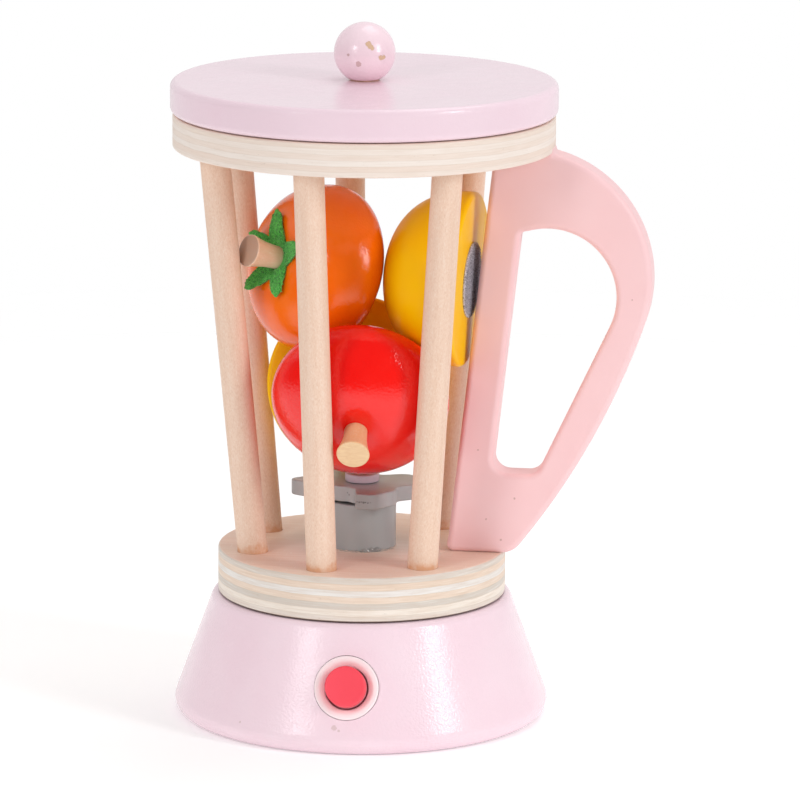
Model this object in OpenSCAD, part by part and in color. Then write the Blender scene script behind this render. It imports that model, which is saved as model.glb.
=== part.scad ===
// Wooden toy blender: a painted base with a push button, a lift-off cage jug with a handle,
// a lid with a ball knob, a cutter that turns by hand, and four pieces of toy fruit.
// Millimetres, +Z up. The origin is on the axis of the base, on the surface it stands on.
// The handle points along +X.

/* [Base] */
// Height of the base
base_h = 41.2; // [38:0.1:48]
// Radius of the cone side where it would meet the table
base_r = 64.3; // [62:0.1:70]
// Lean of the cone side from the vertical, in degrees
base_lean = 19.9; // [16:0.1:21]
// Rounding of the foot of the base
foot_round = 4.8; // [2:0.1:7]
// Rounding of the shoulder of the base
shoulder_round = 2.7; // [1:0.1:4]
// Radius of the peg that centres the jug
peg_r = 15; // [10:0.5:18]
// How far the peg stands up into the jug floor
peg_rise = 5; // [3:0.5:7]
// How deep the peg is glued into the base
peg_sunk = 8; // [5:0.5:10]

/* [Button] */
// Direction of the button round the base, in degrees from the handle
button_azimuth = -87; // [-120:1:-60]
// Height of the button's centre on the cone side
button_z = 21.8; // [20:0.1:23]
// Radius of the button's head
button_r = 6.65; // [5:0.05:7]
// How far the head stands out of the cone side
button_proud = 4.6; // [3:0.1:6]
// Travel of the button
button_travel = 3.5; // [2:0.1:4]
// Width of the bezel's hole round the button's head, on each side
button_play = 0.5; // [0.2:0.05:0.8]
// Radius of the bezel
bezel_r = 10.55; // [9.5:0.05:12]
// Thickness of the bezel
bezel_t = 5; // [4:0.1:6]
// Radius of the button's flange, which the bezel holds in
flange_r = 8.8; // [8.2:0.1:9.2]
// Thickness of the flange
flange_t = 2.5; // [2:0.1:4]
// Length of the spring behind the button
spring_l = 9; // [7:0.5:12]
// Outer radius of the spring
spring_r = 6; // [4:0.25:7]
// Thickness of the spring's wire
spring_wire = 1.2; // [0.8:0.1:1.6]

/* [Jug] */
// Thickness of the plywood floor
floor_t = 15; // [14:0.5:18]
// Radius of the floor
floor_r = 47.9; // [47:0.1:50]
// Clear height between the floor and the ring
cage_h = 134.5; // [120:0.5:150]
// Thickness of the ring
ring_t = 11; // [9:0.5:14]
// Outer radius of the ring
ring_r = 63; // [61:0.5:68]
// Radius of the ring's mouth
mouth_r = 42.5; // [42:0.25:44]
// Rounding of the edges of floor and ring
ply_round = 0.8; // [0.3:0.1:1.5]

/* [Dowels] */
// Radius of the dowels
dowel_r = 5; // [4:0.1:5.4]
// Distance of the dowels from the axis where they leave the floor
dowel_foot = 37.8; // [37.3:0.1:39]
// Distance of the dowels from the axis where they enter the ring
dowel_head = 51; // [50:0.1:53]
// Depth of the dowels' holes
dowel_sunk = 8; // [5:0.5:9]

/* [Handle] */
// Thickness of the handle board
handle_t = 12; // [9:0.5:13]
// Distance of the board's inner edge from the axis at the floor
handle_foot = 29.1; // [28:0.1:31]
// Distance of the board's inner edge from the axis at the ring
handle_head = 43.6; // [43:0.1:45]
// Width of the upright behind the finger hole
handle_upright = 11.7; // [9:0.1:14]
// Radius of the grip's outer curve
grip_r = 43.1; // [42.2:0.1:44]
// Radius of the finger hole's curve
finger_r = 22.6; // [20:0.1:23]
// Rounding of the finger hole's lower corners
finger_corner = 5; // [3:0.5:6]

/* [Lid] */
// Thickness of the lid
lid_t = 10.7; // [8:0.1:14]
// Radius of the lid
lid_r = 63.8; // [61:0.1:70]
// Rounding of the lid's edges
lid_round = 2.2; // [1:0.1:3.5]
// Depth of the plug that centres the lid in the ring
plug_t = 6; // [4:0.5:8]
// Radius of the ball knob
knob_r = 10.1; // [8:0.1:13]
// Radius of the flat that the knob stands on
knob_flat_r = 4.5; // [4:0.1:6]
// Radius of the pin in the knob
pin_r = 3; // [2:0.25:3.5]
// Length of the pin in the knob, and of the pin in the lid
pin_sunk = 7; // [5:0.5:8]

/* [Cutter] */
// Radius of the hub
hub_r = 11.35; // [9:0.05:13]
// Height of the hub
hub_h = 15.6; // [12:0.1:17]
// Thickness of the cutter
cutter_t = 5.2; // [3:0.1:6]
// Length of the longest lobe
cutter_r = 23.8; // [20:0.1:25]
// Radius of the pin that the cutter turns on
axle_r = 3; // [2:0.1:4]
// Radius of the pin's head
axle_head_r = 5.7; // [5:0.1:8]
// Height of the pin's head
axle_head_h = 2.7; // [1.5:0.1:2.8]
// Depth of the pin in the hub
axle_sunk = 8; // [5:0.5:9]

/* [Fruit] */
// Radius of the persimmon across its stem
persimmon_r = 27.7; // [24:0.1:27.7]
// Half the height of the persimmon along its stem
persimmon_h = 15.8; // [14:0.1:15.8]
// Radius of the apple across its stem
apple_r = 28.5; // [25:0.1:28.5]
// Half the height of the apple along its stem
apple_h = 16.1; // [14.5:0.1:16.1]
// Radius of the cut face of the yellow halves
half_r = 29; // [26:0.1:29]
// Depth of a yellow half behind its cut face
half_h = 28.4; // [25:0.1:28.4]
// Radius of the hook-and-loop discs
disc_r = 12.5; // [9:0.5:12.5]
// Thickness of a hook-and-loop disc
disc_t = 1.2; // [0.8:0.1:1.2]
// Radius of a stem's end
stem_r = 5.4; // [4.5:0.1:5.4]
// Radius of a stem at its neck
stem_neck_r = 3.8; // [3:0.1:4]
// Thickness of the felt leaves
felt_t = 1.4; // [0.8:0.1:1.5]
// Length of a felt leaf from the stem's axis
leaf_l = 15.5; // [12:0.5:16]

/* [Hidden] */

$fn = 96;
lift_gap = 0.3;      // between pieces that part by lifting
glue_gap = 0.1;      // round a glued pin, peg or dowel
running_gap = 0.08;  // round the pin that the cutter turns on
seat_gap = 0.15;     // round the bezel in its seat
eps = 0.01;

floor_z = base_h + lift_gap;
floor_top = floor_z + floor_t;
ring_z = floor_top + cage_h;
ring_top = ring_z + ring_t;
lid_z = ring_top + lift_gap;
lid_top = lid_z + lid_t;
hub_top = floor_top + hub_h;
washer_t = 0.5;
cutter_z = hub_top + washer_t + lift_gap;
cutter_top = cutter_z + cutter_t;
axle_head_z = cutter_top + lift_gap;

// Directions of the six dowels round the axis, in degrees from the handle: seven even
// stations, one of them the handle's, each drilled a little off
stations = 7;
station_drift = [0.2, 0.4, 0.9, -1.1, 0.4, 1.1];
dowel_azimuths = [for (i = [0:5]) 360 / stations * (i + 1) + station_drift[i]];

// Points along an arc of radius r about c, from angle a0 to a1, in n steps
function arc(c, r, a0, a1, n) =
    [for (i = [0:n]) let (a = a0 + (a1 - a0) * i / n) c + r * [cos(a), sin(a)]];

// Side profile of a disc with rounded edges, from the axis at its foot to the axis at its top
function disc_profile(r, h, round_low, round_high) =
    concat([[0, 0]],
           arc([r - round_low, round_low], round_low, -90, 0, 6),
           arc([r - round_high, h - round_high], round_high, 0, 90, 6),
           [[0, h]]);

// ---------------------------------------------------------------- base

// Distance of the cone side from the axis at height z
function cone_r(z) = base_r - z * tan(base_lean);

// Centre of a rounding of radius rr that touches the cone side, at height z
function cone_round_centre(rr, z) = [cone_r(z) - rr / cos(base_lean), z];

module on_button_axis() {
    translate([cone_r(button_z) * cos(button_azimuth),
               cone_r(button_z) * sin(button_azimuth), button_z])
        rotate([0, 90 - base_lean, button_azimuth]) children();
}

bezel_proud = 0.3;
bezel_dish = 1.5;
bezel_hole_r = button_r + button_play;
bezel_rim_r = bezel_r - 1.2;
flange_z = -bezel_t - lift_gap - flange_t;
spring_z = flange_z - spring_l;

module base_body() {
    color("#F7DCE6") difference() {
        rotate_extrude($fn = 128) polygon(concat(
            [[0, 0]],
            arc(cone_round_centre(foot_round, foot_round), foot_round, -90, base_lean, 10),
            arc(cone_round_centre(shoulder_round, base_h - shoulder_round),
                shoulder_round, base_lean, 90, 8),
            [[0, base_h]]));
        on_button_axis() {
            translate([0, 0, -bezel_t]) cylinder(r = bezel_r + seat_gap, h = bezel_t + 10);
            translate([0, 0, spring_z])
                cylinder(r = flange_r + lift_gap, h = -spring_z);
        }
        translate([0, 0, base_h - peg_sunk])
            cylinder(r = peg_r + glue_gap, h = peg_sunk + 1);
    }
}

module locating_peg() {
    color("#E8CDB8") translate([0, 0, base_h - peg_sunk])
        rotate_extrude() polygon(disc_profile(peg_r, peg_sunk + peg_rise, 0.5, 1.2));
}

module button_ring() {
    color("#FCD9DD") on_button_axis() rotate_extrude() polygon(concat(
        [[bezel_hole_r, -bezel_t], [bezel_r, -bezel_t]],
        arc([bezel_r - 0.6, bezel_proud - 0.6], 0.6, 0, 90, 4),
        [for (t = [0:0.2:1]) [bezel_rim_r + (bezel_hole_r - bezel_rim_r) * t,
                              bezel_proud - bezel_dish * t * t]]));
}

module push_button() {
    color("#FF5C68") on_button_axis() rotate_extrude() polygon(concat(
        [[0, flange_z], [flange_r, flange_z], [flange_r, flange_z + flange_t],
         [button_r, flange_z + flange_t]],
        arc([button_r - 0.7, button_proud - 0.7], 0.7, 0, 90, 5),
        [[0, button_proud]]));
}

module button_spring() {
    color("silver") on_button_axis() translate([0, 0, spring_z]) difference() {
        cylinder(r = spring_r, h = spring_l);
        translate([0, 0, -1]) cylinder(r = spring_r - spring_wire, h = spring_l + 2);
    }
}

// ---------------------------------------------------------------- jug

// The line of dowel i, with its children's z measured from the floor's top along the dowel
dowel_lean = atan((dowel_head - dowel_foot) / cage_h);
dowel_span = cage_h / cos(dowel_lean);

module on_dowel(i) {
    rotate([0, 0, dowel_azimuths[i]]) translate([dowel_foot, 0, floor_top])
        rotate([0, dowel_lean, 0]) children();
}

module dowel(i) {
    color("#E8CDB8") on_dowel(i) translate([0, 0, glue_gap - dowel_sunk])
        cylinder(r = dowel_r, h = dowel_span + 2 * (dowel_sunk - glue_gap));
}

module dowel_holes() {
    for (i = [0:5]) on_dowel(i) {
        translate([0, 0, -dowel_sunk])
            cylinder(r = dowel_r + glue_gap, h = dowel_sunk + dowel_r);
        translate([0, 0, dowel_span - dowel_r])
            cylinder(r = dowel_r + glue_gap, h = dowel_sunk + dowel_r);
    }
}

screw_r = 1.75;
screw_head_r = 3.5;
screw_l = 30;
screw_sunk_top = screw_l - ring_t;
screw_sunk_foot = screw_l - floor_t;

// A countersunk screw whose head lies flush with z = 0 and whose tip points along +Z
module screw(gap) {
    rotate_extrude($fn = 32) polygon([
        [0, -gap], [screw_head_r + gap, -gap], [screw_head_r + gap, 0.5],
        [screw_r + gap, screw_head_r - screw_r + 0.5], [screw_r + gap, screw_l - 2],
        [0.4, screw_l + gap], [0, screw_l + gap]]);
}

// Where the handle's screws stand: two up through the floor, two down through the ring
module at_handle_screws() {
    for (x = [handle_foot + 5, handle_foot + 12]) translate([x, 0, floor_z]) children();
    for (x = [handle_head + 4.5, handle_head + 12.5])
        translate([x, 0, ring_top]) mirror([0, 0, 1]) children();
}

module hub_screw_place() {
    translate([0, 0, floor_z + peg_rise + 2 * lift_gap]) children();
}

hub_screw_l = 14;

module hub_screw_shape(gap) {
    rotate_extrude($fn = 32) polygon([
        [0, -gap], [screw_head_r + gap, -gap], [screw_head_r + gap, 0.5],
        [screw_r + gap, screw_head_r - screw_r + 0.5], [screw_r + gap, hub_screw_l + gap],
        [0, hub_screw_l + gap]]);
}

module jug_floor() {
    color("#F3D9CD") difference() {
        translate([0, 0, floor_z]) rotate_extrude($fn = 128)
            polygon(disc_profile(floor_r, floor_t, ply_round, ply_round));
        translate([0, 0, floor_z - 1])
            cylinder(r = peg_r + lift_gap, h = peg_rise + lift_gap + 1);
        dowel_holes();
        at_handle_screws() screw(glue_gap);
        hub_screw_place() hub_screw_shape(glue_gap);
    }
}

module jug_ring() {
    color("#F2E9DC") difference() {
        translate([0, 0, ring_z]) rotate_extrude($fn = 128) polygon(concat(
            [[mouth_r, 0]],
            arc([ring_r - ply_round, ply_round], ply_round, -90, 0, 4),
            arc([ring_r - ply_round, ring_t - ply_round], ply_round, 0, 90, 4),
            [[mouth_r, ring_t]]));
        dowel_holes();
        at_handle_screws() screw(glue_gap);
    }
}

module handle_screws() {
    color("silver") at_handle_screws() screw(0);
}

// The handle's outline lies in the plane of the axis: x is the distance from the axis, y the
// height above the floor. The grip is one arc, tangent to a slack arc that runs to the foot.
grip_rise = 41.8;
grip_c = [53, cage_h - grip_rise];
grip_start = asin(grip_rise / grip_r);
grip_end = -18;
slack_r = 249;
slack_c = grip_c + (grip_r - slack_r) * [cos(grip_end), sin(grip_end)];
heel_r = 5;
slack_end = asin((heel_r - slack_c[1]) / (slack_r - heel_r));
heel_c = [slack_c[0] + (slack_r - heel_r) * cos(slack_end), heel_r];
finger_c = [61.8, cage_h - 47.5];
finger_end = -25.5;
finger_floor = 27;
finger_toe_x = 55.6;
toe_r = 2;

// Distance of the upright's inner edge from the axis, at a height above the floor
function upright_x(y) = handle_foot + (handle_head - handle_foot) * y / cage_h;

function handle_outline() = concat(
    [[handle_foot, toe_r], [handle_foot + toe_r, 0]],
    arc(heel_c, heel_r, -90, slack_end, 8),
    arc(slack_c, slack_r, slack_end + 1, grip_end, 14),
    arc(grip_c, grip_r, grip_end + 2, grip_start, 26),
    [[handle_head, cage_h]]);

function finger_hole_outline() =
    let (left_low = upright_x(finger_floor + finger_corner) + handle_upright,
         left_high = upright_x(finger_c[1] + finger_r - 3) + handle_upright)
    concat(
        arc([left_low + finger_corner, finger_floor + finger_corner], finger_corner,
            180, 270, 6),
        arc([finger_toe_x, finger_floor + finger_corner], finger_corner, -90, -30, 5),
        arc(finger_c, finger_r, finger_end, 107, 24),
        arc([left_high + 2.6, finger_c[1] + finger_r - 3.6], 2.6, 112, 176, 5));

module handle() {
    color("#F7CDCF") difference() {
        translate([0, 0, floor_top]) rotate([90, 0, 0])
            linear_extrude(handle_t, center = true) difference() {
                polygon(handle_outline());
                polygon(finger_hole_outline());
            }
        at_handle_screws() screw(glue_gap);
    }
}

// ---------------------------------------------------------------- cutter

module blade_hub() {
    color("#A8A6A5") difference() {
        translate([0, 0, floor_top]) cylinder(r = hub_r, h = hub_h);
        translate([0, 0, hub_top - axle_sunk - glue_gap])
            cylinder(r = axle_r + running_gap, h = axle_sunk + 1);
        hub_screw_place() hub_screw_shape(glue_gap);
    }
}

module hub_screw() {
    color("silver") hub_screw_place() hub_screw_shape(0);
}

module blade_washer() {
    color("silver") translate([0, 0, hub_top]) difference() {
        cylinder(r = axle_head_r + 0.8, h = washer_t);
        translate([0, 0, -1]) cylinder(r = axle_r + running_gap, h = washer_t + 2);
    }
}

module blade_axle() {
    color("#EADCE8") {
        translate([0, 0, hub_top - axle_sunk])
            cylinder(r = axle_r, h = axle_head_z - hub_top + axle_sunk + eps);
        translate([0, 0, axle_head_z]) rotate_extrude()
            polygon(disc_profile(axle_head_r, axle_head_h, 0.3, 0.5));
    }
}

// The cutter's sawn outline: direction from the handle in degrees, and length as a share of
// the longest lobe. Four lobes, each steep on one side.
cutter_knots = [[11.5, 1], [38, 0.82], [65, 0.5], [85, 0.61], [100, 0.92], [118, 0.92],
                [145, 0.64], [165, 0.86], [179.5, 1], [197, 0.76], [231, 0.47],
                [249.5, 0.43], [265.5, 0.49], [273, 0.82], [288, 0.87], [308, 0.77],
                [333.5, 0.62], [354.5, 0.75]];
cutter_steps = 5;

function cutter_outline() = [
    for (i = [0:len(cutter_knots) - 1])
        let (a = cutter_knots[i],
             b = i + 1 < len(cutter_knots) ? cutter_knots[i + 1]
                                           : cutter_knots[0] + [360, 0])
        for (j = [0:cutter_steps - 1])
            let (t = j / cutter_steps,
                 turn = a[0] + (b[0] - a[0]) * t,
                 share = a[1] + (b[1] - a[1]) * (1 - cos(180 * t)) / 2)
            cutter_r * share * [cos(turn), sin(turn)]];

module blade() {
    color("#A8A6A5") translate([0, 0, cutter_z]) difference() {
        linear_extrude(cutter_t) polygon(cutter_outline());
        translate([0, 0, -1]) cylinder(r = axle_r + running_gap, h = cutter_t + 2);
    }
}

// ---------------------------------------------------------------- lid

knob_drop = sqrt(knob_r * knob_r - knob_flat_r * knob_flat_r);

module lid_disc() {
    color("#F3D9E4") difference() {
        translate([0, 0, lid_z]) rotate_extrude($fn = 128)
            polygon(disc_profile(lid_r, lid_t, lid_round, lid_round));
        translate([0, 0, lid_top - pin_sunk - glue_gap])
            cylinder(r = pin_r + glue_gap, h = pin_sunk + 1);
    }
}

module lid_plug() {
    color("#F2E9DC") translate([0, 0, lid_z - plug_t]) rotate_extrude($fn = 128)
        polygon(disc_profile(mouth_r - 0.5, plug_t, 0.8, 0.01));
}

module knob() {
    color("#F3CBDC") difference() {
        translate([0, 0, lid_top]) rotate_extrude() polygon(concat(
            arc([0, knob_drop], knob_r, -acos(knob_flat_r / knob_r), 90, 24), [[0, 0]]));
        translate([0, 0, lid_top - 1]) cylinder(r = pin_r + glue_gap, h = pin_sunk + 1);
    }
}

module knob_pin() {
    color("#E8CDB8") translate([0, 0, lid_top - pin_sunk])
        cylinder(r = pin_r, h = 2 * pin_sunk - glue_gap);
}

// ---------------------------------------------------------------- fruit

// Centres of the fruit, from the middle of the jug floor's top
persimmon_c = [-17.25, -0.8, 93.85];
apple_c = [1.75, -20.7, 51.55];
half_a_c = [35.95, -1.95, 91.3];
half_b_c = [-4.8, 7.55, 53.75];

// Puts children at a centre, with their +Z turned to a direction and a rise in degrees
module facing(centre, azimuth, rise) {
    translate(centre + [0, 0, floor_top]) rotate([0, 90 - rise, azimuth]) children();
}

module on_persimmon() { facing(persimmon_c, 224.2, 17.5) children(); }
module on_apple() { facing(apple_c, 272.7, -27.7) children(); }
module on_half_a() { facing(half_a_c, -5.2, -2.8) children(); }
module on_half_b() { facing(half_b_c, 266.7, 17.1) children(); }

persimmon_fullness = 2.43;
persimmon_slim = 0.13;
persimmon_dimple = 2.5;
apple_fullness = 2.04;
apple_slim = 0.24;
apple_dimple = 3.5;
half_fullness = 2.34;
dimple_w = 8;
stem_hole = 6;
persimmon_stem_l = 26.8;
apple_stem_l = 25;

// Point of a fruit's side at angle a, from -90 at its bottom to 90 at its top. A fullness of
// 2 gives an ellipse and more gives squarer shoulders; a slim above 0 narrows the top. A
// bell-shaped dimple is pressed into the top.
function fruit_point(a, r, h, fullness, slim, dimple) =
    let (k = pow(pow(abs(cos(a)), fullness) + pow(abs(sin(a)), fullness), -1 / fullness),
         x = r * k * cos(a) * (1 - slim * k * sin(a)))
    [x, h * k * sin(a) - (a > 0 ? dimple * exp(-pow(x / dimple_w, 2)) : 0)];

module fruit(r, h, fullness, slim, dimple) {
    difference() {
        rotate_extrude($fn = 72) polygon(concat(
            [[0, -h]],
            [for (i = [1:47]) fruit_point(-90 + 180 * i / 48, r, h, fullness, slim, dimple)],
            [[0, h - dimple]]));
        translate([0, 0, h - dimple - stem_hole])
            cylinder(r = stem_neck_r + glue_gap, h = stem_hole + dimple, $fn = 48);
    }
}

// A stem that stands in its hole and flares to its end at distance l from the fruit's centre
module stem(h, dimple, l) {
    foot = h - dimple - stem_hole + glue_gap;
    color("#DDB186") rotate_extrude($fn = 48) polygon(concat(
        [[0, foot], [stem_neck_r, foot], [stem_neck_r, h - dimple + 1.5]],
        [for (i = [1:6]) let (t = i / 6)
            [stem_neck_r + (stem_r - stem_neck_r) * t * t,
             h - dimple + 1.5 + (l - 0.4 - h + dimple - 1.5) * t]],
        [[stem_r - 0.4, l], [0, l]]));
}

module persimmon() {
    color("#FF6A1A") on_persimmon() fruit(persimmon_r, persimmon_h, persimmon_fullness,
                                          persimmon_slim, persimmon_dimple);
}

module persimmon_stem() {
    on_persimmon() stem(persimmon_h, persimmon_dimple, persimmon_stem_l);
}

module apple() {
    color("#F0201C") on_apple() fruit(apple_r, apple_h, apple_fullness, apple_slim,
                                      apple_dimple);
}

module apple_stem() {
    on_apple() stem(apple_h, apple_dimple, apple_stem_l);
}

leaves = 5;
felt_lift = 0.15;
calyx_low = 40;
calyx_high = 80;

function persimmon_side(a) = fruit_point(a, persimmon_r, persimmon_h, persimmon_fullness,
                                         persimmon_slim, persimmon_dimple);

// Five pointed leaves cut from felt, lying over the crown round the stem
module persimmon_calyx() {
    color("#3C8C3C") on_persimmon() intersection() {
        rotate_extrude($fn = 72) polygon(concat(
            [for (i = [0:8]) persimmon_side(calyx_low + (calyx_high - calyx_low) * i / 8)
                + [0, felt_lift]],
            [for (i = [8:-1:0]) persimmon_side(calyx_low + (calyx_high - calyx_low) * i / 8)
                + [0, felt_lift + felt_t]]));
        linear_extrude(persimmon_h + 5) polygon([
            for (i = [0:2 * leaves - 1])
                let (x = i % 2 == 0 ? leaf_l : leaf_l * 0.42)
                x * [cos(180 * i / leaves), sin(180 * i / leaves)]]);
    }
}

// Half a round fruit: its cut face is at z = 0 and its back points along -Z
module yellow_half() {
    rim = 1.5;
    color("#FFC81E") rotate_extrude($fn = 72) polygon(concat(
        [[0, -half_h]],
        [for (i = [1:27]) fruit_point(-90 + 86.5 * i / 27, half_r, half_h, half_fullness, 0, 0)],
        arc([half_r - rim, -rim], rim, 10, 90, 4),
        [[0, 0]]));
}

module felt_disc(shade) {
    color(shade) cylinder(r = disc_r, h = disc_t);
}

module yellow_half_a() { on_half_a() yellow_half(); }
module hook_disc() { on_half_a() felt_disc("#8E8A92"); }
module yellow_half_b() { on_half_b() yellow_half(); }
module loop_disc() { on_half_b() felt_disc("#9A97A0"); }

base_body();
button_ring();
push_button();
button_spring();
locating_peg();
jug_floor();
jug_ring();
dowel(0);  // dowel_1
dowel(1);  // dowel_2
dowel(2);  // dowel_3
dowel(3);  // dowel_4
dowel(4);  // dowel_5
dowel(5);  // dowel_6
handle();
handle_screws();
blade_hub();
hub_screw();
blade_washer();
blade_axle();
blade();
lid_disc();
lid_plug();
knob();
knob_pin();
persimmon();
persimmon_calyx();
persimmon_stem();
apple();
apple_stem();
yellow_half_a();
hook_disc();
yellow_half_b();
loop_disc();
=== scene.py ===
"""Looks of the wooden toy blender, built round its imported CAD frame.

Sizes are in millimetres in the functions' arguments and become metres in the meshes. Every new
piece has its vertices in the row frame, its object at the origin, and a point attribute "own"
that holds its shape before it was turned into place, so that grain and pores follow the piece.
"""

import math

import bpy
import numpy as np
from mathutils import Matrix, Vector
from mathutils.geometry import tessellate_polygon


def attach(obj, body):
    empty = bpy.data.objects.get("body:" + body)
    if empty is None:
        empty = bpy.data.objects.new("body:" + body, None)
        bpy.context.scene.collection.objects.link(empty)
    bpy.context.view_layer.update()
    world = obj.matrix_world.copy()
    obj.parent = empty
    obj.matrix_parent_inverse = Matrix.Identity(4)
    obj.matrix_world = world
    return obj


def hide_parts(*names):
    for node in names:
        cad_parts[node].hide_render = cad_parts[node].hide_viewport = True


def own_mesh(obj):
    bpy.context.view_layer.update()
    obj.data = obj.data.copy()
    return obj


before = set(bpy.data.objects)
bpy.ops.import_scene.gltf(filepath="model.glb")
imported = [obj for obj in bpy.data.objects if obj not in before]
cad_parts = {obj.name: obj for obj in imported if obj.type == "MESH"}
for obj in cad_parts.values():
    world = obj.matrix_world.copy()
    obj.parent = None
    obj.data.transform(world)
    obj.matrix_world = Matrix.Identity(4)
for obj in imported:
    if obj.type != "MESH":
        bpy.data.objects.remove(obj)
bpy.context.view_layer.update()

MM = 0.001

# ------------------------------------------------------------------ sizes, in millimetres

FLOOR_LOW = 41.5
FLOOR_TOP = 56.5
RING_LOW = 191.0
RING_TOP = 202.0
PLUG_LOW = 196.3
LID_LOW = 202.3
LID_TOP = 213.0
# The open height of the jug, between its floor and its ring
CLEAR = RING_LOW - FLOOR_TOP

CONE_R, CONE_LEAN = 64.3, 19.9
BUTTON_AZIMUTH, BUTTON_Z = -87.0, 21.8

DOWEL_R, DOWEL_FOOT, DOWEL_HEAD, DOWEL_SUNK = 5.0, 37.8, 51.0, 7.9
DOWEL_AZIMUTHS = [51.6, 103.3, 155.2, 204.6, 257.5, 309.7]

HUB_R, HUB_TOP = 11.35, 72.1
CUTTER_LOW, CUTTER_THICK, CUTTER_REACH = 72.9, 5.2, 23.8

# Fruit: radius, half height, fullness, slimness and dimple of its side, and the height above
# its middle at which its stem ends
PERSIMMON, PERSIMMON_STEM_END = (27.7, 15.8, 2.43, 0.13, 2.5), 26.8
APPLE, APPLE_STEM_END = (28.5, 16.1, 2.04, 0.24, 3.5), 25.0
HALF_R, HALF_DEEP = 29.0, 28.4


# ------------------------------------------------------------------ meshes


def rotation(azimuth, rise):
    """Turns +Z to a direction round the axis and a rise above the level, in degrees."""
    a, b = math.radians(azimuth), math.radians(90 - rise)
    about_z = np.array([[math.cos(a), -math.sin(a), 0], [math.sin(a), math.cos(a), 0], [0, 0, 1]])
    about_y = np.array([[math.cos(b), 0, math.sin(b)], [0, 1, 0], [-math.sin(b), 0, math.cos(b)]])
    return about_z @ about_y


def make(name, shape, material, turn=np.eye(3), shift=(0, 0, 0), seed=0.0):
    """A smooth mesh object from a shape in millimetres, turned and shifted into the row frame.
    A shape is its vertices and its faces of four vertex numbers, of which a triangle repeats
    one. The attribute "own" is the vertices before the turn, moved aside by the seed."""
    verts, faces = shape
    own = verts * MM
    there = own @ turn.T + np.array(shift) * MM
    used = faces != np.roll(faces, -1, 1)
    corners = used.sum(1)
    mesh = bpy.data.meshes.new(name)
    mesh.vertices.add(len(there))
    mesh.vertices.foreach_set("co", there.ravel())
    mesh.loops.add(int(corners.sum()))
    mesh.loops.foreach_set("vertex_index", faces[used].astype(np.int32))
    mesh.polygons.add(len(faces))
    mesh.polygons.foreach_set("loop_start", (np.cumsum(corners) - corners).astype(np.int32))
    mesh.update(calc_edges=True)
    mesh.polygons.foreach_set("use_smooth", np.ones(len(faces), bool))
    attribute = mesh.attributes.new("own", "FLOAT_VECTOR", "POINT")
    attribute.data.foreach_set("vector", (own + seed * np.array([0.37, 0.73, 0.19])).ravel())
    mesh.materials.append(material)
    obj = bpy.data.objects.new(name, mesh)
    bpy.context.scene.collection.objects.link(obj)
    return obj


def arc(cx, cz, r, a0, a1, n):
    """n + 1 points (cx + r cos a, cz + r sin a) for a from a0 to a1 degrees."""
    a = np.radians(np.linspace(a0, a1, n + 1))
    return np.column_stack([cx + r * np.cos(a), cz + r * np.sin(a)])


def path(*parts):
    """One line of points from single points (x, z), lists of them and arcs."""
    return np.vstack([np.reshape(part, (-1, 2)) for part in parts])


def strips(index, closed=False):
    """Faces between the rows of a grid of vertex numbers whose rows are rings. A closed
    surface also joins its last row to its first."""
    if closed:
        index = np.vstack([index, index[:1]])
    low, high = index[:-1], index[1:]
    return np.stack([low, np.roll(low, -1, 1), np.roll(high, -1, 1), high], 2).reshape(-1, 4)


def turned(profile, around=160, closed=False):
    """Surface of revolution: each point (r, z) of the profile goes to (r cos t, r sin t, z)
    for t in equal steps of a full turn. Points with r = 0 become one vertex each."""
    t = np.linspace(0, 2 * np.pi, around, endpoint=False)
    r, z = profile[:, :1], profile[:, 1:]
    rings = np.stack([r * np.cos(t), r * np.sin(t), z + 0 * t], 2)
    kept = (r > 1e-6) | (t == 0)
    index = np.cumsum(kept).reshape(kept.shape) - 1
    return rings[kept], strips(index, closed)


def inset(loop, distance):
    """The loop moved to its left by a distance, mitred at its corners. A counterclockwise
    loop shrinks and a clockwise one grows."""
    before, after = loop - np.roll(loop, 1, 0), np.roll(loop, -1, 0) - loop
    before /= np.linalg.norm(before, axis=1)[:, None]
    after /= np.linalg.norm(after, axis=1)[:, None]
    left = np.stack([-(before + after)[:, 1], (before + after)[:, 0]], 1)
    left /= np.linalg.norm(left, axis=1)[:, None]
    cos_half = np.clip((left * np.stack([-before[:, 1], before[:, 0]], 1)).sum(1), 0.4, 1)
    return loop + left * (distance / cos_half)[:, None]


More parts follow.
